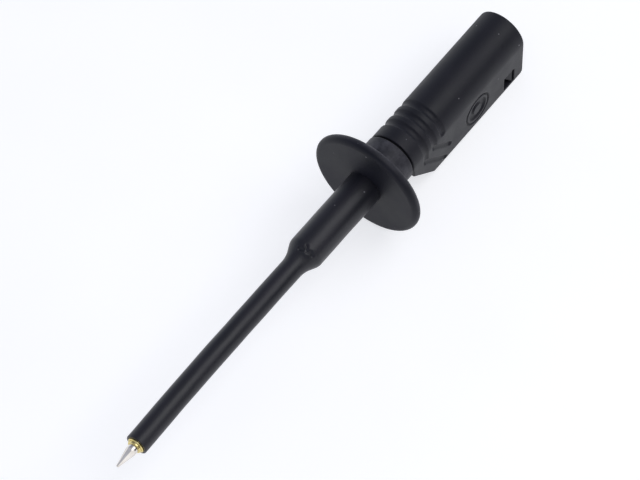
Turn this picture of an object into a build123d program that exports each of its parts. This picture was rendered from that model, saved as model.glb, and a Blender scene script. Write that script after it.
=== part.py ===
# Spring-loaded hand test probe with a round finger guard and a 4 mm safety socket.
#
# Frame: the probe's axis is X. The socket's mouth is the origin and opens towards +X, the
# plunger points along -X, and the handle's keel hangs towards -Z. Sizes are millimetres.

from build123d import *
import os
from math import asin, cos, degrees, radians, sin, sqrt, tan

# ---------------------------------------------------------------- handle, outside
handle_radius = 5.75        # round top, and half the distance across the two flats
grip_length = 13.0          # bulkhead to the front face
keel_depth = 10.3           # axis to the underside of the keel
edge_round = 0.4            # rounding of the keel's edges and of the rear rim
chin_drop = 3.4             # axis to the top of the sloping chin, at the front face
chin_angle = 43.6           # chin against the axis, degrees
chin_toe = 1.0              # rounding between the chin and the underside
heel_round = 1.0            # rounding between the underside and the rear face
front_edge = 0.25

# ---------------------------------------------------------------- handle, inside
socket_radius = 2.0         # standard 4 mm plug
socket_depth = 19.5
mouth_recess = 3.0          # how far the socket's mouth sits inside the handle
shroud_radius = 4.15        # room for a safety plug's insulating shroud
bulkhead_thickness = 3.0
side_wall = 1.3             # flats to the keel cavity
keel_floor = 0.85           # underside to the keel cavity
keel_web = 0.95             # shroud cavity to the keel cavity
keel_cavity_length = 30.0

# ---------------------------------------------------------------- grip grooves
groove_pitch = 3.0
groove_inset = 4.3          # front face to the middle of the first groove
groove_depth = 0.42
groove_section = 1.2        # radius of the ring's round section
leg_section = 0.7           # radius of the leg's, where it slants back over the flat
leg_end = 1.0               # underside to the end of the longest leg

# ---------------------------------------------------------------- round boss on each flat
boss_setback = 16.8         # rear face to the boss's centre
boss_margin = 1.05          # outer ring to the top and bottom of the flat
boss_lift = 0.4             # centre above the middle of the flat
ring_width = 0.5
dish_inset = 1.15           # outer edge of the ring to the dished ring
dish_width = 1.5
boss_depth = 0.4

# ---------------------------------------------------------------- latch window and insert
window_setback = 3.3        # rear face to the window's rear edge
window_length = 3.7
window_shade = 0.2          # cavity's top to the window's top
plate_thickness = 1.5
plate_recess = 0.3          # behind the handle's rear face
arm_thickness = 1.2
arm_short = 0.4             # front of the window to the arm's free end
nose_shy = 0.1              # top of the latch nose under the flat
latch_slit = 0.75           # behind the latch nose
latch_tip = 0.9             # height of the arm's free end
latch_angle = 49.0          # arm's lower edge against the axis, degrees
tongue_length = 13.0
tongue_width = 3.6

# ---------------------------------------------------------------- guard
guard_radius = 13.33
guard_thickness = 2.4
neck_length = 8.45          # middle of the guard's disc to the handle's front face
neck_step = 0.1             # neck over the handle's round top
neck_blend = 0.5
neck_edge = 0.2
spigot_radius = 4.0
spigot_length = 4.6
web_thickness = 9.3         # end of the spigot to the face that the rod clamps
gasket_thickness = 0.45
gasket_shy = 0.45           # rim of the gasket inside the handle's round top
snap_wire_radius = 0.3
snap_opening = 30.0         # gap in the snap ring, degrees
snap_setback = 2.0          # handle's front face to the middle of the snap ring

# ---------------------------------------------------------------- insulated stem
thick_length = 21.8         # middle of the disc to the rear of the cone
cone_length = 3.3
thin_length = 53.45
core_radius = 3.53
thick_wall = 0.5            # shrunk sleeve over the core
thin_wall_front = 0.57      # shrunk sleeve over the metal tube
thin_wall_rear = 0.55
sleeve_edge = 0.3
cone_foot = 2.5             # rounding where the cone starts
cone_top = 1.2              # rounding where the cone ends

# ---------------------------------------------------------------- metal stem
receptacle_wall = 0.33
receptacle_show = 0.4       # metal standing out of the sleeve
receptacle_chamfer = 0.2
receptacle_seat = 8.0       # length held in the core, and plugged by the rod
rod_collar_cover = 0.565    # core left round the rod's collar
rod_collar_thickness = 1.2
rod_pin_radius = 1.2
rod_pin_depth = 3.5         # pin inside the socket bush

# ---------------------------------------------------------------- spring contact
plunger_radius = 1.175
plunger_show = 5.4          # point to the rolled lip
plunger_travel = 4.0
nose_length = 4.7
nose_facets = 8
point_radius = 0.3
point_flat = 0.25           # axis to each facet, at the point
collar_step = 0.195         # guided collar over the shaft
collar_length = 4.0
tail_angle = 25.0           # slope of the plunger's rear face, degrees
ball_gap = 0.1              # ball in the barrel's bore
barrel_length = 36.0
barrel_wall = 0.2
lip_show = 0.5              # rolled lip standing out of the receptacle
lip_thickness = 0.6
lip_round = 0.22
wire_radius = 0.17
coil_gap = 0.15             # spring in the barrel's bore
spring_turns = 18
plug_length = 3.0

# ---------------------------------------------------------------- nuts, washers, bush, liner
washer_thickness = 0.5
washer_split = 0.8          # cut through a spring washer
nut_room = 0.3              # nut's corners in the handle's front bore
rod_nut_thickness = 2.0
bush_nut_thickness = 2.0
thread_end = 0.4            # thread standing out of each nut
bush_wall = 0.6
bush_collar_step = 0.85
bush_collar_thickness = 1.2
bush_shank_radius = 2.2
drill_angle = 59.0          # half angle of the drilled bottom, degrees
liner_wall = 0.45
liner_lip = 0.8             # lip in front of the bush's mouth
liner_lip_gap = 0.15        # lip's bore over the plug's pin

# ---------------------------------------------------------------- clearances
running_gap = 0.025         # plunger in the rolled lip, collar in the barrel
fit_gap = 0.02              # pieces fixed inside each other
assembly_gap = 0.05         # spigot in the handle, ends that stop short
latch_gap = 0.1             # insert in the keel

# ---------------------------------------------------------------- radii that follow
barrel_bore = plunger_radius + collar_step + running_gap
barrel_radius = barrel_bore + barrel_wall
lip_bore = plunger_radius + running_gap
ball_radius = barrel_bore - ball_gap
coil_radius = barrel_bore - coil_gap - wire_radius
receptacle_bore = barrel_radius + fit_gap
receptacle_radius = receptacle_bore + receptacle_wall
thin_radius_front = receptacle_radius + thin_wall_front
thin_radius_rear = receptacle_radius + thin_wall_rear
thick_radius = core_radius + thick_wall
rod_radius = receptacle_radius
rod_collar_radius = core_radius - rod_collar_cover
core_bore = rod_radius + fit_gap
bush_radius = socket_radius + bush_wall
bush_collar_radius = bush_radius + bush_collar_step
front_bore = spigot_radius + assembly_gap
neck_radius = handle_radius + neck_step
nut_corner_radius = front_bore - nut_room
nut_flats_radius = nut_corner_radius * cos(radians(30))

# ---------------------------------------------------------------- stations along the axis
handle_rear = mouth_recess
bulkhead_rear = -(socket_depth + bush_collar_thickness)
bulkhead_front = bulkhead_rear - bulkhead_thickness
handle_front = bulkhead_front - grip_length
neck_end = handle_front - gasket_thickness
guard_middle = handle_front - neck_length
guard_front = guard_middle - guard_thickness / 2
guard_rear = guard_middle + guard_thickness / 2
spigot_end = handle_front + spigot_length
web_front = spigot_end - web_thickness
thick_front = guard_middle - thick_length
cone_front = thick_front - cone_length
sleeve_front = cone_front - thin_length
receptacle_front = sleeve_front - receptacle_show
receptacle_rear = cone_front + receptacle_seat
barrel_front = receptacle_front - lip_show
barrel_rear = barrel_front + barrel_length
point = barrel_front - plunger_show
collar_front = barrel_front + lip_thickness + fit_gap
collar_rear = collar_front + collar_length
ball_middle = collar_rear + ball_radius / cos(radians(tail_angle))
rod_nut_front = spigot_end + washer_thickness
rod_nut_rear = rod_nut_front + rod_nut_thickness
bush_nut_rear = bulkhead_front - washer_thickness
bush_nut_front = bush_nut_rear - bush_nut_thickness
bush_front = bush_nut_front - thread_end
snap_middle = handle_front + snap_setback

# ---------------------------------------------------------------- the keel's inside
cavity_half = handle_radius - side_wall
cavity_top = -(shroud_radius + keel_web)
cavity_bottom = -(keel_depth - keel_floor)
window_rear = handle_rear - window_setback
window_front = window_rear - window_length
window_top = cavity_top - window_shade

# Each groove: the height at which it leaves its ring, and where its slanting run ends.
groove_runs = [(-2.5, -keel_depth + leg_end), (-0.6, -6.0), (1.2, 1.2)]


def turned(corners):
    """Piece turned about the X axis from (x, radius) corners; a third value rounds a corner."""
    outline = make_face(Polyline(*[corner[:2] for corner in corners], close=True))
    for corner in corners:
        if len(corner) == 3:
            vertex = outline.vertices().sort_by_distance(corner[:2])[0]
            outline = fillet(vertex, corner[2])
    return revolve(outline, Axis.X)


def ring(front, rear, inner, outer):
    """Plain tube or washer about the X axis."""
    return turned([(front, inner), (front, outer), (rear, outer), (rear, inner)])


def block(x_range, y_range, z_range):
    """Box between three pairs of limits."""
    limits = (x_range, y_range, z_range)
    middle = [(low + high) / 2 for low, high in limits]
    size = [high - low for low, high in limits]
    return Pos(*middle) * Box(*size)


def round_bar(start, end, radius):
    """Round bar from start to end, with a ball at each end."""
    run = Vector(*end) - Vector(*start)
    bar = Pos(*start) * Sphere(radius) + Pos(*end) * Sphere(radius)
    if run.length > 0:
        bar += extrude(Plane(origin=start, z_dir=run) * Circle(radius), run.length)
    return bar


def hex_nut(front, rear, bore):
    """Hexagon nut about the X axis, with its corners relieved on both faces."""
    relief = nut_corner_radius - nut_flats_radius
    section = Plane(origin=(front, 0, 0), z_dir=(1, 0, 0)) * RegularPolygon(nut_corner_radius, 6)
    envelope = turned([
        (front, bore),
        (front, nut_flats_radius),
        (front + relief, nut_corner_radius),
        (rear - relief, nut_corner_radius),
        (rear, nut_flats_radius),
        (rear, bore),
    ])
    return extrude(section, rear - front) & envelope


def split_washer(front, rear, bore):
    """Spring washer about the X axis, cut through at the top."""
    cut = block((front - 1, rear + 1), (-washer_split / 2, washer_split / 2), (0, nut_corner_radius))
    return ring(front, rear, bore, nut_flats_radius) - cut


# ================================================================ spring contact

def plunger():
    """Pointed plunger: faceted nose, shaft, guided collar and a sloping rear face."""
    collar_radius = plunger_radius + collar_step
    body = turned([
        (point, 0),
        (point, point_radius, point_radius * 0.9),
        (point + nose_length * 0.75, plunger_radius),
        (collar_front, plunger_radius),
        (collar_front, collar_radius),
        (collar_rear + collar_radius, collar_radius),
        (collar_rear + collar_radius, 0),
    ])
    # One facet's waste lies outside a line that rises from the point to the shaft's surface.
    rise = (plunger_radius - point_flat) / nose_length
    waste_outline = make_face(Polyline(
        (point - 1, point_flat - rise),
        (point + nose_length + 1, plunger_radius + rise),
        (point + nose_length + 1, 2 * plunger_radius),
        (point - 1, 2 * plunger_radius),
        close=True,
    ))
    waste = extrude(waste_outline, 2 * plunger_radius, both=True)
    for facet in range(nose_facets):
        body -= Rot(X=facet * 360 / nose_facets) * waste
    slope = Vector(cos(radians(tail_angle)), 0, sin(radians(tail_angle)))
    return split(body, Plane(origin=(collar_rear, 0, 0), z_dir=slope), keep=Keep.BOTTOM)


def bias_ball():
    """Ball between the plunger's slope and the spring; it pushes the collar onto the bore."""
    return Pos(ball_middle, 0, 0) * Sphere(ball_radius)


def plunger_spring():
    """Compression spring from the ball to the barrel's end plug."""
    seat = sqrt((ball_radius + wire_radius) ** 2 - coil_radius ** 2)
    front = ball_middle + seat + fit_gap
    rear = barrel_rear - plug_length - wire_radius - fit_gap
    length = rear - front
    path = Helix(length / spring_turns, length, coil_radius, center=(front, 0, 0), direction=(1, 0, 0))
    section = Plane(origin=path @ 0, z_dir=path % 0) * Circle(wire_radius)
    return sweep(section, path, is_frenet=True)


def spring_barrel():
    """Barrel of the spring contact, its front rolled in to keep the plunger."""
    return turned([
        (barrel_front, lip_bore),
        (barrel_front, barrel_radius, lip_round),
        (barrel_rear, barrel_radius),
        (barrel_rear, barrel_bore),
        (barrel_front + lip_thickness, barrel_bore),
        (barrel_front + lip_thickness, lip_bore),
    ])


def barrel_end_plug():
    """Plug that closes the barrel behind the spring."""
    return turned([
        (barrel_rear - plug_length, 0),
        (barrel_rear - plug_length, barrel_bore),
        (barrel_rear, barrel_bore),
        (barrel_rear, 0),
    ])


# ================================================================ stem

def receptacle_tube():
    """Plated tube that holds the spring contact and runs back into the core."""
    chamfer_radius = receptacle_radius - receptacle_chamfer
    return turned([
        (receptacle_front, receptacle_bore),
        (receptacle_front, chamfer_radius),
        (receptacle_front + receptacle_chamfer, receptacle_radius),
        (receptacle_rear, receptacle_radius),
        (receptacle_rear, receptacle_bore),
    ])


def contact_rod():
    """Turned rod from the receptacle, through the guard, to the socket bush."""
    collar_front_face = web_front - rod_collar_thickness
    thread_rear = rod_nut_rear + thread_end
    pin_rear = bush_front + rod_pin_depth - assembly_gap
    return turned([
        (cone_front, 0),
        (cone_front, receptacle_bore),
        (receptacle_rear, receptacle_bore),
        (receptacle_rear, rod_radius),
        (collar_front_face, rod_radius),
        (collar_front_face, rod_collar_radius),
        (web_front, rod_collar_radius),
        (web_front, rod_radius),
        (thread_rear, rod_radius),
        (thread_rear, rod_pin_radius),
        (pin_rear, rod_pin_radius),
        (pin_rear, 0),
    ])


def core_sleeve():
    """Stiff insulating core under the thick part of the sleeve, tapered at its front."""
    seat_radius = rod_collar_radius + fit_gap
    seat_front = web_front - rod_collar_thickness - fit_gap
    return turned([
        (cone_front, core_bore),
        (thick_front, core_radius),
        (web_front, core_radius),
        (web_front, seat_radius),
        (seat_front, seat_radius),
        (seat_front, core_bore),
    ])


def shrink_sleeve():
    """One insulating sleeve shrunk over the tube and the core, into the guard."""
    return turned([
        (sleeve_front, receptacle_radius),
        (sleeve_front, thin_radius_front, sleeve_edge),
        (cone_front, thin_radius_rear, cone_foot),
        (thick_front, thick_radius, cone_top),
        (web_front, thick_radius),
        (web_front, core_radius),
        (thick_front, core_radius),
        (cone_front, core_bore),
        (cone_front, receptacle_radius),
    ])


# ================================================================ guard

def hand_guard():
    """Finger guard: disc with a full-round rim, neck, and a spigot that enters the handle."""
    stem_bore = thick_radius + fit_gap
    web_bore = rod_radius + fit_gap
    rim_round = guard_thickness / 2 - fit_gap
    body = turned([
        (guard_front, stem_bore),
        (guard_front, guard_radius, rim_round),
        (guard_rear, guard_radius, rim_round),
        (guard_rear, neck_radius, neck_blend),
        (neck_end, neck_radius, neck_edge),
        (neck_end, spigot_radius),
        (spigot_end, spigot_radius, neck_edge),
        (spigot_end, web_bore),
        (web_front, web_bore),
        (web_front, stem_bore),
    ])
    return body - snap_groove()


def snap_groove():
    """Space for the snap ring, half in the spigot and half in the handle's front bore."""
    half_width = snap_wire_radius + fit_gap
    inner = spigot_radius - half_width
    outer = front_bore + half_width
    return ring(snap_middle - half_width, snap_middle + half_width, inner, outer)


def guard_snap_ring():
    """Open wire ring that locks the guard's spigot in the handle."""
    wire = Pos(snap_middle, spigot_radius + assembly_gap / 2) * Circle(snap_wire_radius)
    return revolve(wire, Axis.X, 360 - snap_opening)


def guard_gasket():
    """Flat rubber washer between the neck and the handle."""
    return ring(neck_end, handle_front, spigot_radius + fit_gap, handle_radius - gasket_shy)


def rod_washer():
    """Spring washer under the rod's nut."""
    return split_washer(spigot_end, rod_nut_front, rod_radius)


def rod_locknut():
    """Nut that pulls the rod's collar against the guard's web."""
    return hex_nut(rod_nut_front, rod_nut_rear, rod_radius)


# ================================================================ socket

def socket_bush():
    """Turned socket for a 4 mm plug, held in the bulkhead by its collar and shank."""
    pin_bore = rod_pin_radius + fit_gap
    drill_point = socket_radius / tan(radians(drill_angle))
    blank = turned([
        (0, 0),
        (0, bush_radius, bush_wall / 3),
        (-socket_depth, bush_radius),
        (-socket_depth, bush_collar_radius),
        (bulkhead_rear, bush_collar_radius),
        (bulkhead_rear, bush_shank_radius),
        (bush_front, bush_shank_radius),
        (bush_front, 0),
    ])
    socket = turned([(1, 0), (1, socket_radius), (-socket_depth, socket_radius), (-socket_depth - drill_point, 0)])
    pin_hole = turned([
        (bush_front - 1, 0),
        (bush_front - 1, pin_bore),
        (bush_front + rod_pin_depth, pin_bore),
        (bush_front + rod_pin_depth, 0),
    ])
    return blank - socket - pin_hole


def bush_lock_washer():
    """Spring washer under the bush's nut."""
    return split_washer(bush_nut_rear, bulkhead_front, bush_shank_radius)


def bush_nut():
    """Nut that clamps the bush to the bulkhead."""
    return hex_nut(bush_nut_front, bush_nut_rear, bush_shank_radius)


def socket_liner():
    """Insulating sleeve over the bush, with a lip that keeps fingers off its mouth."""
    outer = bush_radius + fit_gap + liner_wall
    return turned([
        (-socket_depth, bush_radius + fit_gap),
        (-socket_depth, outer),
        (liner_lip, outer, liner_wall / 2),
        (liner_lip, socket_radius + liner_lip_gap, liner_wall / 2),
        (fit_gap, socket_radius + liner_lip_gap),
        (fit_gap, bush_radius + fit_gap),
    ])


# ================================================================ handle

def handle_outside():
    """Solid outside of the handle: a round body over a flat-sided keel with a sloping chin."""
    keel_front = handle_front + front_edge
    chin_bottom = keel_front + (keel_depth - chin_drop) / tan(radians(chin_angle))
    side_view = Plane.XZ * make_face(Polyline(
        (keel_front, 0),
        (handle_rear, 0),
        (handle_rear, -keel_depth),
        (chin_bottom, -keel_depth),
        (keel_front, -chin_drop),
        close=True,
    ))
    toe = side_view.vertices().sort_by_distance((chin_bottom, 0, -keel_depth))[0]
    side_view = fillet(toe, chin_toe)
    heel = side_view.vertices().sort_by_distance((handle_rear, 0, -keel_depth))[0]
    side_view = fillet(heel, heel_round)
    keel = extrude(side_view, handle_radius, both=True)
    side_edges = keel.edges().filter_by(
        lambda edge: abs(edge.center().Y) > handle_radius - fit_gap
        and edge.center().X > keel_front + fit_gap
        and edge.center().Z < -fit_gap
    )
    return fillet(side_edges, edge_round) + turned([
        (handle_front, 0),
        (handle_front, handle_radius, front_edge),
        (handle_rear, handle_radius, edge_round),
        (handle_rear, 0),
    ])


def grip_groove(middle, turn_height, end_height):
    """Round-bottomed ring over the top, with a narrower leg that slants back over each flat."""
    path_radius = handle_radius + groove_section - groove_depth
    lift = degrees(asin(max(turn_height, 0) / path_radius))
    section = Pos(middle, path_radius) * Circle(groove_section)
    groove = Rot(X=lift) * revolve(section, Axis.X, 180 - 2 * lift)
    slant = (turn_height - end_height) / tan(radians(chin_angle))
    leg_radius = handle_radius + leg_section - groove_depth
    for side in (-1, 1):
        width = side * path_radius * cos(radians(lift))
        ring_end = (middle, width, max(turn_height, 0))
        turn = (middle, width, turn_height)
        groove += round_bar(ring_end, turn, groove_section)
        if slant > 0:
            leg_start = (middle, side * leg_radius, turn_height)
            leg_stop = (middle + slant, side * leg_radius, end_height)
            groove += round_bar(leg_start, leg_stop, leg_section)
    return groove


def flat_boss():
    """Waste of the plain round boss in each flat: a thin ring and a dished ring inside it."""
    ring_outer = keel_depth / 2 - boss_margin
    dish_outer = ring_outer - dish_inset
    thin_ring = Circle(ring_outer) - Circle(ring_outer - ring_width)
    dish = Circle(dish_outer) - Circle(dish_outer - dish_width)
    waste = Part()
    for side in (-1, 1):
        centre = (handle_rear - boss_setback, side * handle_radius, boss_lift - keel_depth / 2)
        inward = Plane(origin=centre, x_dir=(1, 0, 0), z_dir=(0, -side, 0))
        waste += extrude(inward * (thin_ring + dish), boss_depth)
    return waste


def handle_shell():
    """Moulded handle: shroud cavity behind the bulkhead, front bore, and a hollow keel."""
    body = handle_outside()
    for index, (turn_height, end_height) in enumerate(groove_runs):
        middle = handle_front + groove_inset + index * groove_pitch
        body -= grip_groove(middle, turn_height, end_height)
    body -= flat_boss()
    body -= ring(bulkhead_rear, handle_rear + 1, 0, shroud_radius)
    body -= ring(bulkhead_front - 1, bulkhead_rear + 1, 0, bush_shank_radius + fit_gap)
    body -= ring(handle_front - 1, bulkhead_front, 0, front_bore)
    body -= snap_groove()
    cavity = block(
        (handle_rear - keel_cavity_length, handle_rear + 1),
        (-cavity_half, cavity_half),
        (cavity_bottom, cavity_top),
    )
    windows = block(
        (window_front, window_rear),
        (-handle_radius - 1, handle_radius + 1),
        (cavity_bottom, window_top),
    )
    return body - cavity - windows


def keel_insert():
    """Insert that closes the keel, with a latch arm behind each window."""
    half = cavity_half - latch_gap
    heights = (cavity_bottom + latch_gap, cavity_top - latch_gap)
    plate_rear = handle_rear - plate_recess
    plate_front = plate_rear - plate_thickness
    arm_front = window_front + arm_short
    nose_rear = window_rear - latch_slit
    nose_heights = (cavity_bottom + latch_gap, window_top - latch_gap)
    body = block((plate_front, plate_rear), (-half, half), heights)
    body += block((plate_front - tongue_length, plate_front), (-tongue_width / 2, tongue_width / 2), heights)
    for side in (-1, 1):
        inner, outer = side * (half - arm_thickness), side * half
        body += block((arm_front, plate_front), sorted((inner, outer)), heights)
        nose = make_face(Polyline(
            (arm_front, inner),
            (arm_front, outer),
            (nose_rear, side * (handle_radius - nose_shy)),
            (nose_rear, inner),
            close=True,
        ))
        body += Pos(0, 0, nose_heights[0]) * extrude(nose, nose_heights[1] - nose_heights[0], dir=(0, 0, 1))
    # The arms are cut away in front of a line that slants down to the rear.
    tip_height = nose_heights[1] - latch_tip
    drop = tip_height - cavity_bottom
    reach = drop / tan(radians(latch_angle))
    waste = Plane.XZ * make_face(Polyline(
        (arm_front - reach, cavity_bottom),
        (arm_front - reach, tip_height + drop),
        (arm_front + reach, cavity_bottom),
        close=True,
    ))
    for side in (-1, 1):
        inner = side * (half - arm_thickness)
        body -= extrude(Pos(0, inner, 0) * waste, handle_radius, dir=(0, side, 0))
    return body


# ================================================================ files

makers = [
    plunger, bias_ball, plunger_spring, spring_barrel, barrel_end_plug,
    receptacle_tube, contact_rod, core_sleeve, shrink_sleeve,
    hand_guard, guard_snap_ring, guard_gasket, rod_washer, rod_locknut,
    socket_bush, bush_lock_washer, bush_nut, socket_liner,
    handle_shell, keel_insert,
]

os.makedirs("parts", exist_ok=True)
for maker in makers:
    export_step(maker(), f"parts/{maker.__name__}.step")
print("overall length", round(handle_rear - point, 3))
print("plunger nose left outside at full travel", round(plunger_show - plunger_travel, 3))
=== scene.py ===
from math import atan2, cos, exp, pi, radians, sin

import bmesh
import bpy
from mathutils import Matrix, Quaternion, Vector, noise


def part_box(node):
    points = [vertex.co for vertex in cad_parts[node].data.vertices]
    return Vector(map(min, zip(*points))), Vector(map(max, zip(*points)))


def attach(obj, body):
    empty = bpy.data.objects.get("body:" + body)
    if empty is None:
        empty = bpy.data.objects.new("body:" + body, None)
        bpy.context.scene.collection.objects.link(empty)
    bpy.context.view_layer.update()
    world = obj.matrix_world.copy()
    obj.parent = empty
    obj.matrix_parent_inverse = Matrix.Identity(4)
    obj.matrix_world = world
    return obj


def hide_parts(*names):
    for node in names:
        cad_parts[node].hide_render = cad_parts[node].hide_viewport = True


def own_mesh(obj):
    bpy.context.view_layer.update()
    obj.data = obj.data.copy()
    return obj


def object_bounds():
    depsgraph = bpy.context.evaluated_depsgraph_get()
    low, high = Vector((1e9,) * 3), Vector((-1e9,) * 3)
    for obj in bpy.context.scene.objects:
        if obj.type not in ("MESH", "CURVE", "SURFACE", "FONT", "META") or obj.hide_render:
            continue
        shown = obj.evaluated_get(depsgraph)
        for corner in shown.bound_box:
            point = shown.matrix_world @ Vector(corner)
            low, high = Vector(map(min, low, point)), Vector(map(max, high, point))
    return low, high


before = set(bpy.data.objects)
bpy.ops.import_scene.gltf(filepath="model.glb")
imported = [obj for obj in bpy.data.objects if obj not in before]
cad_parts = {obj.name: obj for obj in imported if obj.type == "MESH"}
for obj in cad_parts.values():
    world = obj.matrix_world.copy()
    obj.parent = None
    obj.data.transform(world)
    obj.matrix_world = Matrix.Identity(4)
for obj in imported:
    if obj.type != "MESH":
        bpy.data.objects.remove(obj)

cad_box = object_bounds()


# ================================================================ plunger
# The contact point: beryllium copper, turned, ground to eight facets at the nose and nickel
# plated. It slides in the barrel, and its sloping tail presses on the bias ball.

mm = 0.001


def srgb(code):
    """Linear colour of an sRGB hex code."""
    channels = [int(code[place:place + 2], 16) / 255 for place in (1, 3, 5)]
    linear = [c / 12.92 if c <= 0.04045 else ((c + 0.055) / 1.055) ** 2.4 for c in channels]
    return (*linear, 1.0)


def add(tree, kind, settings=None, **inputs):
    """Add a node to a tree.

    An input is a value or another node's output. It goes by the name of its socket, or by i
    and the number of its socket where several sockets have one name.
    """
    node = tree.nodes.new("ShaderNode" + kind)
    for name, value in (settings or {}).items():
        setattr(node, name, value)
    for name, value in inputs.items():
        by_number = name[0] == "i" and name[1:].isdigit()
        socket = node.inputs[int(name[1:]) if by_number else name.replace("_", " ")]
        if isinstance(value, bpy.types.NodeSocket):
            tree.links.new(value, socket)
        else:
            socket.default_value = value
    return node


def blank_material(name):
    """New material, its empty tree, and the piece's own coordinates in metres."""
    material = bpy.data.materials.new(name)
    material.use_nodes = True
    tree = material.node_tree
    tree.nodes.clear()
    return material, tree, add(tree, "TexCoord").outputs["Object"]


def two_tones(tree, pattern, first, second, low=0.3, high=0.7):
    """Colour that goes from one hex code to another between two levels of a pattern."""
    ramp = add(tree, "ValToRGB", Fac=pattern)
    for element, level, code in zip(ramp.color_ramp.elements, (low, high), (first, second)):
        element.position = level
        element.color = srgb(code)
    return ramp.outputs["Color"]


def turned_metal(name, colour, shade, roughness, mark_mm, depth_mm, stain_mm=1.5):
    """Turned metal: rings of fine marks round the probe's axis, and patches a shade darker.

    Real tool marks are a few hundredths of a millimetre apart. They are drawn mark_mm apart,
    as coarse as they need to show.
    """
    mark_run_mm = 8        # how far a mark goes on round the axis
    glossiest, dullest = 0.75 * roughness, 1.3 * roughness
    material, tree, place = blank_material(name)
    rings = add(
        tree, "Mapping", Vector=place,
        Scale=(1 / (mark_mm * mm), 1 / (mark_run_mm * mm), 1 / (mark_run_mm * mm)),
    )
    marks = add(
        tree, "TexNoise", Vector=rings.outputs["Vector"], Scale=1.0, Detail=3.0, Roughness=0.6,
    )
    stain = add(tree, "TexNoise", Vector=place, Scale=1 / (stain_mm * mm), Detail=2.0)
    dull = add(tree, "MapRange", Value=marks.outputs["Fac"], To_Min=glossiest, To_Max=dullest)
    relief = add(tree, "Bump", Height=marks.outputs["Fac"], Strength=0.4, Distance=depth_mm * mm)
    surface = add(
        tree, "BsdfPrincipled", Base_Color=two_tones(tree, stain.outputs["Fac"], shade, colour),
        Metallic=1.0, Roughness=dull.outputs["Result"], Normal=relief.outputs["Normal"],
    )
    add(tree, "OutputMaterial", Surface=surface.outputs["BSDF"])
    return material


def give(node, material):
    """Give a CAD node its finish."""
    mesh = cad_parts[node].data
    mesh.materials.clear()
    mesh.materials.append(material)


# Bright nickel over ground facets: near-mirror, a little warm, with marks from the grinding.
give("plunger", turned_metal(
    "bright_nickel_plate", "#E6E2DC", "#D8D3CC", roughness=0.10, mark_mm=0.25, depth_mm=0.002,
))


# ================================================================ bias ball
# A hardened bearing ball, polished. It sits between the plunger's sloping tail and the spring
# and pushes the plunger against the barrel's wall, so that the contact is sound.

# Lapped bearing steel: a cold, bright mirror with hardly a mark on it.
give("bias_ball", turned_metal(
    "polished_bearing_steel", "#C9CBCE", "#BDBFC2", roughness=0.07, mark_mm=2.0, depth_mm=0.001,
))


# ================================================================ spring
# A compression spring wound from music wire in open coils, between the ball and the plug. In
# the real probe its front end goes in with the plunger; here the coil is one fixed piece on the
# probe's body.

def show(piece):
    """Put a new object in the scene."""
    bpy.context.collection.objects.link(piece)
    return piece


def smooth_piece(name, shape, material):
    """Turn a finished bmesh into a smooth-shaded object at the origin."""
    bmesh.ops.recalc_face_normals(shape, faces=shape.faces)
    for face in shape.faces:
        face.smooth = True
    mesh = bpy.data.meshes.new(name)
    shape.to_mesh(mesh)
    shape.free()
    mesh.materials.append(material)
    return show(bpy.data.objects.new(name, mesh))


spring_low, spring_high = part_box("plunger_spring")
wire_radius = 0.17 * mm
coil_radius = spring_high.z - wire_radius
spring_turns = 18
steps_per_turn = 24
free_length = spring_high.x - spring_low.x
coil_rise = (free_length - 2 * wire_radius) / (spring_turns * steps_per_turn)

shape = bmesh.new()
bmesh.ops.create_circle(shape, segments=10, radius=wire_radius, cap_ends=True)
bmesh.ops.translate(shape, verts=shape.verts, vec=(spring_low.x + wire_radius, coil_radius, 0))
bmesh.ops.spin(
    shape, geom=shape.faces[:], cent=(0, 0, 0), axis=(1, 0, 0),
    angle=2 * pi * spring_turns, steps=spring_turns * steps_per_turn, dvec=(coil_rise, 0, 0),
)
# Drawn wire: dark grey, satin, faint marks of the die along the coil.
spring = smooth_piece("coil_spring", shape, turned_metal(
    "music_wire", "#8E8F92", "#77787C", roughness=0.3, mark_mm=0.5, depth_mm=0.002,
))
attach(spring, "probe_body")
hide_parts("plunger_spring")
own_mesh(spring)


# ================================================================ barrel and its plug
# The barrel is a drawn tube, gold plated, its mouth rolled in to keep the plunger. The plug
# that closes its rear end is turned brass, pressed in.

# Gold flash over bright nickel: pale yellow, glossy, a little olive where it is thin.
gold = turned_metal(
    "gold_flash_plating", "#EAD99C", "#CBB872",
    roughness=0.17, mark_mm=0.12, depth_mm=0.003, stain_mm=0.8,
)
give("spring_barrel", gold)

# Bare turned brass: deeper yellow, satin, with rings from the cutting tool.
brass = turned_metal(
    "turned_brass", "#C9A95C", "#A98A45", roughness=0.28, mark_mm=0.2, depth_mm=0.006,
)
give("barrel_end_plug", brass)


# ================================================================ receptacle and contact rod
# The receptacle is the gold-plated tube that the barrel is pushed into; its chamfered mouth
# stands just out of the sleeve. The brass rod plugs into its rear and carries the contact back.

give("receptacle_tube", gold)
give("contact_rod", brass)


# ================================================================ core
# A stiff tube of glass-filled polyamide, injection moulded, over the joint of receptacle and
# rod. It makes the stem thick where it enters the guard, and the sleeve hides it.

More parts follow.
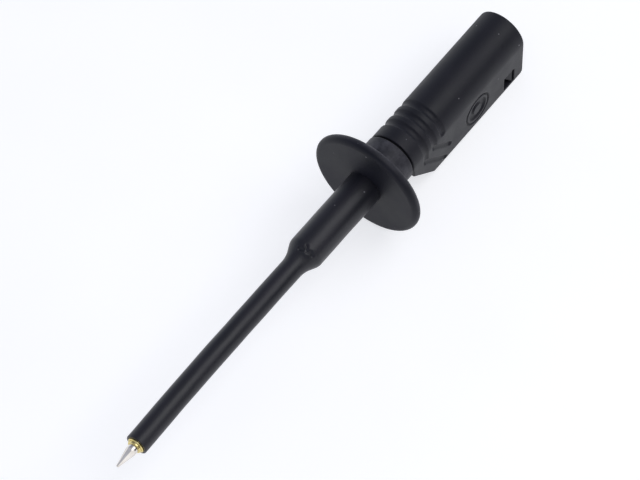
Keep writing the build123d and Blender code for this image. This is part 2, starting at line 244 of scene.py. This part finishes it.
def black_plastic(name, colour, shade, roughness, specular, ior, grain_mm, grain_depth_mm,
                  streak_mm=(6, 6, 6), unevenness_mm=0.0, speck_gap_mm=None, painted_light_span=None):
    """Black plastic: fine grain, patches or streaks of gloss, and some pale specks of dust.

    Real grain is finer than a tenth of a millimetre. It is drawn grain_mm wide, as coarse as
    it needs to show. Given two places along the axis, a patchy pale haze sets in between
    them: painted light, which lifts a part that lies in shade.
    """
    gloss_swing = 0.05
    # Colour and patch size of the painted light, a patchy pale haze.
    painted_light_colour, painted_light_patch_mm = "#77767C", 3.0
    dust_colour, dust_roughness = "#8C8B8E", 0.9
    speck_radius_mm, speck_core_mm = 0.22, 0.13

    material, tree, place = blank_material(name)
    grain = add(
        tree, "TexNoise", Vector=place, Scale=1 / (grain_mm * mm), Detail=2.0, Roughness=0.55,
    )
    stretch = add(
        tree, "Mapping", Vector=place, Scale=[1 / (length * mm) for length in streak_mm],
    )
    flow = add(
        tree, "TexNoise", Vector=stretch.outputs["Vector"], Scale=1.0, Detail=3.0, Roughness=0.5,
    )
    dull = add(
        tree, "MapRange", Value=flow.outputs["Fac"], From_Min=0.3, From_Max=0.7,
        To_Min=roughness - gloss_swing, To_Max=roughness + gloss_swing,
    ).outputs["Result"]
    tone = two_tones(tree, flow.outputs["Fac"], shade, colour)
    # Painted light: a patchy pale haze between two places along the axis, lifting a part in shade.
    if painted_light_span:
        reach = add(
            tree, "MapRange", Value=add(tree, "SeparateXYZ", Vector=place).outputs["X"],
            From_Min=painted_light_span[0], From_Max=painted_light_span[1],
        ).outputs["Result"]
        cloud = add(
            tree, "TexNoise", Vector=place, Scale=1 / (painted_light_patch_mm * mm),
            Detail=5.0, Roughness=0.65,
        )
        patch = add(
            tree, "MapRange", Value=cloud.outputs["Fac"], From_Min=0.42, From_Max=0.68,
            To_Min=0.10, To_Max=0.32,
        ).outputs["Result"]
        painted_light = add(tree, "Math", {"operation": "MULTIPLY"}, i0=reach, i1=patch).outputs["Value"]
        tone = add(
            tree, "Mix", {"data_type": "RGBA"}, Factor=painted_light, i6=tone, i7=srgb(painted_light_colour),
        ).outputs[2]
    if speck_gap_mm:
        # A speck shows where a point of a loose 3-D scatter lies within its radius of the skin.
        scatter = add(tree, "TexVoronoi", Vector=place, Scale=1 / (speck_gap_mm * mm))
        speck = add(
            tree, "MapRange", Value=scatter.outputs["Distance"],
            From_Min=speck_radius_mm / speck_gap_mm, From_Max=speck_core_mm / speck_gap_mm,
            To_Min=0.0, To_Max=0.6,
        ).outputs["Result"]
        tone = add(
            tree, "Mix", {"data_type": "RGBA"}, Factor=speck, i6=tone, i7=srgb(dust_colour),
        ).outputs[2]
        dull = add(tree, "Mix", Factor=speck, i2=dull, i3=dust_roughness).outputs[0]
    waves = add(
        tree, "Bump", Height=flow.outputs["Fac"], Strength=1.0 if unevenness_mm else 0.0,
        Distance=unevenness_mm * mm,
    )
    relief = add(
        tree, "Bump", Height=grain.outputs["Fac"], Strength=0.6, Distance=grain_depth_mm * mm,
        Normal=waves.outputs["Normal"],
    )
    surface = add(
        tree, "BsdfPrincipled", Base_Color=tone, IOR=ior, Specular_IOR_Level=specular,
        Roughness=dull, Normal=relief.outputs["Normal"],
    )
    add(tree, "OutputMaterial", Surface=surface.outputs["BSDF"])
    return material


# Glass-filled polyamide: dull black, faintly cloudy from the fibres near the skin.
polyamide = black_plastic(
    "black_polyamide", "#1E1E21", "#18181B",
    roughness=0.55, specular=0.5, ior=1.5, grain_mm=0.3, grain_depth_mm=0.02,
)
give("core_sleeve", polyamide)


# ================================================================ shrink sleeve
# Polyolefin tube, heat shrunk in one length over the receptacle and the core, from just behind
# the gold mouth to inside the guard. It takes the core's step as a soft cone, is a little
# thicker on one side, and puckers at the top of the cone.

sleeve_low, sleeve_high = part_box("shrink_sleeve")
sleeve_radius = sleeve_high.z
tube_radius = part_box("receptacle_tube")[1].z
core_low, core_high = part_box("core_sleeve")
guard_low, guard_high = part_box("hand_guard")
mouth_wall, step_wall = 0.57 * mm, 0.55 * mm
cone_length = 3.3 * mm
cone_top = core_low.x + cone_length
# The section's corners: place along the axis, radius, and how softly the corner is rounded.
outline = [
    (sleeve_low.x, tube_radius, 0),
    (sleeve_low.x, tube_radius + mouth_wall, 0.3 * mm),
    (core_low.x, tube_radius + step_wall, 2.5 * mm),
    (cone_top, sleeve_radius, 1.0 * mm),
    (sleeve_high.x, sleeve_radius, 0),
    (sleeve_high.x, core_high.z, 0),
    (cone_top, core_high.z, 0),
    (core_low.x, tube_radius, 0),
]
cut_share = 0.55        # how much of a corner's softness its bevel cuts from each side

shape = bmesh.new()
corners = [shape.verts.new((x, radius, 0)) for x, radius, soft in outline]
for corner, before in zip(corners, corners[-1:] + corners):
    shape.edges.new((corner, before))
for corner, (x, radius, soft) in zip(corners, outline):
    if soft:
        bmesh.ops.bevel(
            shape, geom=[corner], offset=soft * cut_share, offset_type="OFFSET", segments=6,
            profile=0.5, affect="VERTICES", material=-1,
        )
# Rings of points along the sleeve, close together where the cone meets the thick part.
ring_gap, fine_gap, fine_reach = 0.9 * mm, 0.15 * mm, 2.4 * mm
along = sleeve_low.x + ring_gap
while along < sleeve_high.x - fine_gap:
    bmesh.ops.bisect_plane(
        shape, geom=shape.verts[:] + shape.edges[:], plane_co=(along, 0, 0), plane_no=(1, 0, 0),
    )
    along += fine_gap if abs(along - cone_top) < fine_reach else ring_gap
bmesh.ops.spin(
    shape, geom=shape.edges[:], cent=(0, 0, 0), axis=(1, 0, 0), angle=2 * pi, steps=144,
    use_merge=True,
)
bmesh.ops.remove_doubles(shape, verts=shape.verts, dist=0.0001 * mm)

# Stations along the sleeve, and how far its skin leans to the thicker side at each, in mm.
lean_direction = Vector((0, 0.935, 0.356))
lean_stations = [
    (-123.0, 0.0), (-108.0, 0.22), (-97.0, 0.26), (-89.5, 0.23), (-81.0, 0.18),
    (-71.6, 0.12), (-58.5, 0.10), (-48.0, 0.0), (0.0, 0.0),
]


def lean_at(x):
    """Lean of the sleeve's skin at x, both in metres."""
    for (x0, lean0), (x1, lean1) in zip(lean_stations, lean_stations[1:]):
        if x <= x1 * mm:
            part = min(max((x / mm - x0) / (x1 - x0), 0), 1)
            part = part * part * (3 - 2 * part)
            return (lean0 + (lean1 - lean0) * part) * mm
    return 0.0


# Shrinking has also left the skin uneven, in swells this long and this high.
swell_length, swell_height = 5.5 * mm, 0.035 * mm
swells_round = 1.3        # steps of the pattern across the sleeve's radius, going round

# Creases where the tube has puckered over the core's edge. Each is a line of points: how far
# behind the cone's top (ahead of it below 0), and how far round the skin from the middle of
# the creases, in mm. A crease is a valley with a low lip along each side.
crease_middle = radians(111)
crease_half_span = radians(60)
creases = [
    [(-1.5, -1.9), (-1.3, -1.0), (-0.8, -0.35), (-1.05, 0.3), (-0.55, 0.85), (-0.9, 1.7)],
    [(-0.8, -0.35), (-0.1, -0.8)],
]
crease_width, crease_depth = 0.26, 0.38
lip_off, lip_width, lip_height = 0.55, 0.3, 0.05


def off_line(spot, line):
    """Least distance from a spot to a line of points."""
    least = 99.0
    for start, stop in zip(line, line[1:]):
        start, stop = Vector(start), Vector(stop)
        run = stop - start
        part = min(max((spot - start).dot(run) / run.length_squared, 0), 1)
        least = min(least, (spot - start - run * part).length)
    return least


def crease_at(x, around):
    """Depth of the creases in metres, at x and at an angle round the skin from their middle."""
    if abs(x - cone_top) >= fine_reach or abs(around) >= crease_half_span:
        return 0.0
    spot = Vector(((x - cone_top) / mm, around * sleeve_radius / mm))
    off = min(off_line(spot, line) for line in creases)
    deep = 0.75 + 0.6 * noise.noise(Vector((*spot, 3.0)) * 1.4)        # deeper here and there
    valley = crease_depth * deep * exp(-(off / crease_width) ** 2)
    lip = lip_height * exp(-((off - lip_off) / lip_width) ** 2)
    return (valley - lip) * mm


still_edge = 0.05 * mm        # points this near the mouth or the bore stay where they are
full_depth = 0.3 * mm         # points this far out from the bore move in full
guard_cover = guard_low.x - 1.0 * mm        # from here on the guard holds the sleeve true


def share_at(x, reach):
    """Share of the skin's moves that a point takes, by its place along and distance out."""
    if x < sleeve_low.x + still_edge or x >= guard_cover:
        return 0.0
    if x < cone_top and reach < tube_radius + still_edge:
        return 0.0
    bore = core_high.z if x > cone_top else tube_radius
    return min(max((reach - bore) / full_depth, 0), 1)


for vert in shape.verts:
    x = vert.co.x
    share = share_at(x, vert.co.yz.length)
    if not share:
        continue
    outward = Vector((0, vert.co.y, vert.co.z)).normalized()
    swell = swell_height * noise.noise(
        Vector((x / swell_length, outward.y * swells_round, outward.z * swells_round)),
    )
    dent = crease_at(x, atan2(vert.co.z, vert.co.y) - crease_middle)
    vert.co += share * (lean_direction * lean_at(x) + outward * (swell - dent))

# Polyolefin: satin black with a soft sheen, gloss drawn out in long streaks by the shrinking.
sleeve = smooth_piece("heat_shrunk_sleeve", shape, black_plastic(
    "black_polyolefin_tube", "#191821", "#0F1219",
    roughness=0.40, specular=0.5, ior=1.45, grain_mm=0.35, grain_depth_mm=0.022,
    streak_mm=(14, 1.6, 1.6), unevenness_mm=0.02, speck_gap_mm=5.5,
))
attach(sleeve, "probe_body")
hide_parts("shrink_sleeve")


# ================================================================ finger guard
# Black ABS, moulded in one piece: a disc with a round rim that stops the fingers, the neck
# behind it and a spigot that enters the handle. It slides over the sleeve from the rear.

# Moulded ABS: satin black, and on the neck behind the disc a patchy pale haze: painted light that
# lifts the shade the disc casts there.
painted_light_start, painted_light_full = guard_low.x + 0.7 * mm, guard_low.x + 2.0 * mm
give("hand_guard", black_plastic(
    "black_abs_guard", "#171721", "#0F1119",
    roughness=0.5, specular=0.26, ior=1.46, grain_mm=0.30, grain_depth_mm=0.028,
    speck_gap_mm=3.2, painted_light_span=(painted_light_start, painted_light_full),
))


# ================================================================ snap ring
# A split ring of spring wire, zinc plated. It lies half in the guard's spigot and half in the
# handle's front bore, and locks the one in the other.

# Zinc plate: blue-grey, half dull, with faint marks of the steel under it.
zinc = turned_metal(
    "zinc_plated_steel", "#B5B9BC", "#9CA1A6", roughness=0.32, mark_mm=0.5, depth_mm=0.003,
)
give("guard_snap_ring", zinc)


# ================================================================ gasket
# A flat ring punched from nitrile rubber, nipped between the neck and the handle's front
# face. Only its edge shows, as a thin dark line.

# Nitrile rubber: deep black and dull, so its edge looks like a gap.
give("guard_gasket", black_plastic(
    "black_nitrile_rubber", "#0A0A0B", "#060607",
    roughness=0.75, specular=0.25, ior=1.5, grain_mm=0.3, grain_depth_mm=0.015,
))


# ================================================================ washers and nuts
# Split spring washers of zinc-plated steel, and nuts of turned brass. One pair pulls the rod's
# collar against the guard, and the other clamps the bush to the bulkhead inside the handle.

for washer in ("rod_washer", "bush_lock_washer"):
    give(washer, zinc)
for nut in ("rod_locknut", "bush_nut"):
    give(nut, brass)


# ================================================================ socket bush and liner
# The bush takes a 4 mm shrouded plug: brass, turned and bored, nickel plated. The liner that
# insulates it is a moulded tube of the same polyamide as the core.

# Nickel over turned brass: warm grey, satin, with the tool's rings showing through.
give("socket_bush", turned_metal(
    "nickel_plated_brass", "#CFCBC4", "#B6B1A8", roughness=0.2, mark_mm=0.2, depth_mm=0.004,
))
give("socket_liner", polyamide)


# ================================================================ handle
# Black ABS, moulded, all its edges softly rounded: a round top, and two flats down to a keel.
# Three grooves grip the fingers, and two of them run on aslant down the flats. Each flat has
# a round boss ringed into it and, near the rear, a window for a latch.

# Moulded ABS: satin black with a faint blue cast, a fine grain and a few specks of dust.
handle_plastic = black_plastic(
    "black_abs_handle", "#16161F", "#0E1018",
    roughness=0.50, specular=0.35, ior=1.46, grain_mm=0.30, grain_depth_mm=0.030,
    speck_gap_mm=3.6,
)
give("handle_shell", handle_plastic)
# Its mesh is welded, given a new skin of small squares, softened, and thinned on its flats.
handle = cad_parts["handle_shell"]
weld = handle.modifiers.new("weld", "WELD")
weld.merge_threshold = 0.002 * mm
skin = handle.modifiers.new("moulded_skin", "REMESH")
skin.mode = "VOXEL"
skin.voxel_size = 0.15 * mm
skin.use_smooth_shade = True
soften = handle.modifiers.new("soft_edges", "SMOOTH")
soften.factor = 0.5
soften.iterations = 2
thin_out = handle.modifiers.new("flats_thinned_out", "DECIMATE")
thin_out.ratio = 0.42


# ================================================================ keel insert
# A latch block moulded in the same ABS, pushed into the hollow keel from the rear. Its two
# arms show in the windows, each with a nose that snaps out before the window's rear edge.

give("keel_insert", handle_plastic)


# ================================================================ table
# Opal acrylic board, lit from below. The probe lies on it on the rim of its guard and on the
# heel of its keel, so the board is tilted a little against the probe's axis.

handle_low, handle_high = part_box("handle_shell")
guard_radius = guard_high.z
guard_thickness = 2.4 * mm
rim_x = guard_low.x + guard_thickness / 2
table_slope = atan2(handle_low.z + guard_radius, handle_high.x - rim_x)
table_size = 8.0

shape = bmesh.new()
bmesh.ops.create_grid(shape, x_segments=8, y_segments=8, size=table_size / 2)
tilt = Quaternion((0, 1, 0), -table_slope)
bmesh.ops.rotate(shape, verts=shape.verts, matrix=tilt.to_matrix())
bmesh.ops.translate(shape, verts=shape.verts, vec=(rim_x, 0, -guard_radius))
# Opal acrylic: white, matt, glowing a little, so shadows on it are faint.
opal, tree, place = blank_material("opal_acrylic_table")
cloud_mm = 60
cloud = add(tree, "TexNoise", Vector=place, Scale=1 / (cloud_mm * mm), Detail=2.0)
board = add(
    tree, "BsdfPrincipled", Base_Color=two_tones(tree, cloud.outputs["Fac"], "#B4B4B4", "#BBBBBA"),
    Roughness=0.9, Specular_IOR_Level=0.1, Emission_Color=srgb("#FBFCFF"), Emission_Strength=0.68,
)
add(tree, "OutputMaterial", Surface=board.outputs["BSDF"])
table = smooth_piece("table", shape, opal)


# ================================================================ camera
# A long lens about a metre off. It looks down on the probe from ahead of the nose and from
# the probe's left, and is turned a touch about its own axis.

camera_data = bpy.data.cameras.new("camera")
camera_data.lens = 253.47
camera_data.sensor_width = 36.0
camera_data.clip_start = 0.01
camera_data.clip_end = 50.0
camera = show(bpy.data.objects.new("camera", camera_data))
camera_bearing = radians(-52.253)
camera_height = radians(58.131)
camera_roll = radians(-0.881)
camera_aim = Vector((-59.331, 2.005, -6.361)) * mm
camera_distance = 0.945
back = Vector((
    sin(camera_bearing) * cos(camera_height),
    -cos(camera_bearing) * cos(camera_height),
    sin(camera_height),
))
camera.location = camera_aim + back * camera_distance
camera.rotation_mode = "QUATERNION"
level = (-back).to_track_quat("-Z", "Y")
camera.rotation_quaternion = level @ Quaternion((0, 0, 1), camera_roll)
bpy.context.scene.camera = camera
bpy.context.scene.view_settings.view_transform = "Standard"


# ================================================================ softbox and card
# One wide softbox hangs over the table, its long side along the probe. A small white card
# stands beside the nose and puts a bright band on its near facets.

lamp_data = bpy.data.lights.new("softbox_overhead", "AREA")
lamp_data.shape = "RECTANGLE"
lamp_data.size = 1.1
lamp_data.size_y = 0.62
lamp_data.energy = 3.7
lamp = show(bpy.data.objects.new("softbox_overhead", lamp_data))
lamp_distance = 0.9
lamp_away = Vector((0.35, -0.44, 0.849)).normalized()
lamp_across = lamp_away.cross(Vector((1, 0, 0))).normalized()
lamp_along = lamp_across.cross(lamp_away)
lamp.location = camera_aim + lamp_away * lamp_distance
lamp.rotation_mode = "QUATERNION"
lamp.rotation_quaternion = Matrix([
    [lamp_along[i], lamp_across[i], lamp_away[i]] for i in range(3)
]).to_quaternion()
lamp.visible_camera = False

card_data = bpy.data.lights.new("white_card", "AREA")
card_data.shape = "SQUARE"
card_data.size = 0.09
card_data.energy = 0.024
card = show(bpy.data.objects.new("white_card", card_data))
card_distance = 0.2
card_away = Vector((0.114, -0.924, 0.398)).normalized()
nose_middle = Vector((cad_box[0].x + 2.5 * mm, 0, 0))
card.location = nose_middle + card_away * card_distance
card.rotation_mode = "QUATERNION"
card.rotation_quaternion = card_away.to_track_quat("Z", "Y")
card.visible_camera = False


# ================================================================ room
# White walls, brightest near the horizon on the probe's right, and grey on its left, behind
# the camera. The black plastics show their shape mostly by what they mirror of them.

room = bpy.data.worlds.new("white_room")
room.use_nodes = True
tree = room.node_tree
tree.nodes.clear()
axes = add(tree, "SeparateXYZ", Vector=add(tree, "TexCoord").outputs["Generated"])


def wall(stops):
    """Colour of one side of the room, from the level of the table up to overhead."""
    ramp = add(tree, "ValToRGB", Fac=axes.outputs["Z"])
    ramp.color_ramp.interpolation = "EASE"
    for height, code in stops[2:]:
        ramp.color_ramp.elements.new(height)
    for element, (height, code) in zip(ramp.color_ramp.elements, stops):
        element.position = height
        element.color = srgb(code)
    return ramp.outputs["Color"]


lit_wall = wall([
    (0.06, "#F4F8FF"), (0.35, "#CBD3E6"), (0.62, "#888A9A"), (0.86, "#9698A6"), (0.94, "#C2C5D2"),
])
dark_wall = wall([
    (0.00, "#5C5A5E"), (0.30, "#5E5C62"), (0.48, "#8E8E98"), (0.86, "#9A9CAA"), (0.94, "#C2C5D2"),
])
dark_until, lit_from = -0.75, -0.1
side = add(tree, "MapRange", Value=axes.outputs["Y"], From_Min=dark_until, From_Max=lit_from)
room_light = add(
    tree, "Mix", {"data_type": "RGBA"}, Factor=side.outputs["Result"], i6=dark_wall, i7=lit_wall,
)
sky = add(tree, "Background", Color=room_light.outputs[2], Strength=1.0)
add(tree, "OutputWorld", Surface=sky.outputs["Background"])
bpy.context.scene.world = room
